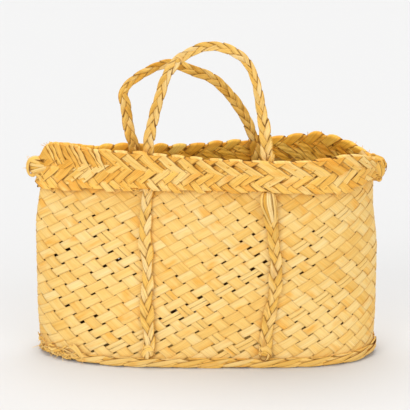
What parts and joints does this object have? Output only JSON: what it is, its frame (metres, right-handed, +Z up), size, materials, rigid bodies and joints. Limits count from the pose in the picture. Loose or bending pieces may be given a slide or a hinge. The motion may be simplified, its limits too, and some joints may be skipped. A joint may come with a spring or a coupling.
{
  "type": "woven flax kete",
  "caption": "Soft oblong basket of flat leaf strips in plain weave, with a plaited rim and bottom edge and two plaited loop handles whose tails run down the walls.",
  "frame": {"origin": "on the ground under the middle of the whole basket", "axes": "+X along the basket towards its wide end, -Y towards its front wall, +Z up"},
  "size_m": [0.344, 0.1368, 0.3117],
  "materials": {
    "body_leaf": "dry leaf strips, satin, straw gold with amber and paler strips",
    "rim_leaf": "dry folded leaf strips, satin, straw gold",
    "base_leaf": "dry twisted leaf strips, satin, straw gold",
    "handle_leaf": "dry plaited leaf, satin, straw gold with darker creases",
    "tail_leaf": "dry plaited leaf, satin, pale straw",
    "knot_leaf": "dry twisted leaf, satin, straw gold"
  },
  "bodies": {
    "basket": {"woven_body": "body_leaf", "rim_plait_front_strand_1": "rim_leaf", "rim_plait_front_strand_2": "rim_leaf", "rim_plait_front_strand_3": "rim_leaf", "base_plait_front_strand_1": "base_leaf", "base_plait_front_strand_2": "base_leaf", "base_plait_front_strand_3": "base_leaf", "tail_front_left_strand_1": "tail_leaf", "tail_front_left_strand_2": "tail_leaf", "tail_front_left_strand_3": "tail_leaf", "tail_front_right_strand_1": "tail_leaf", "tail_front_right_strand_2": "tail_leaf", "tail_front_right_strand_3": "tail_leaf", "rim_plait_rear_strand_1": "rim_leaf", "rim_plait_rear_strand_2": "rim_leaf", "rim_plait_rear_strand_3": "rim_leaf", "base_plait_rear_strand_1": "base_leaf", "base_plait_rear_strand_2": "base_leaf", "base_plait_rear_strand_3": "base_leaf", "tail_rear_left_strand_1": "tail_leaf", "tail_rear_left_strand_2": "tail_leaf", "tail_rear_left_strand_3": "tail_leaf", "tail_rear_right_strand_1": "tail_leaf", "tail_rear_right_strand_2": "tail_leaf", "tail_rear_right_strand_3": "tail_leaf", "end_knot_left_strand_1": "knot_leaf", "end_knot_left_strand_2": "knot_leaf", "end_knot_right_strand_1": "knot_leaf", "end_knot_right_strand_2": "knot_leaf"},
    "handle_front": {"handle_front_strand_1": "handle_leaf", "handle_front_strand_2": "handle_leaf", "handle_front_strand_3": "handle_leaf"},
    "handle_rear": {"handle_rear_strand_1": "handle_leaf", "handle_rear_strand_2": "handle_leaf", "handle_rear_strand_3": "handle_leaf"}
  },
  "joints": [
    {"name": "front_handle_swing", "type": "hinge", "parent": "basket", "child": "handle_front", "pos_m": [-0.05841, -0.00988, 0.204], "axis": [0.9401, -0.341, 0], "range_deg": [-11, 100], "stiffness_Nm_per_rad": 0.02},
    {"name": "rear_handle_swing", "type": "hinge", "parent": "basket", "child": "handle_rear", "pos_m": [-0.07386, 0.00629, 0.204], "axis": [-0.941, -0.3384, 0], "range_deg": [-11, 100], "stiffness_Nm_per_rad": 0.02}
  ]
}
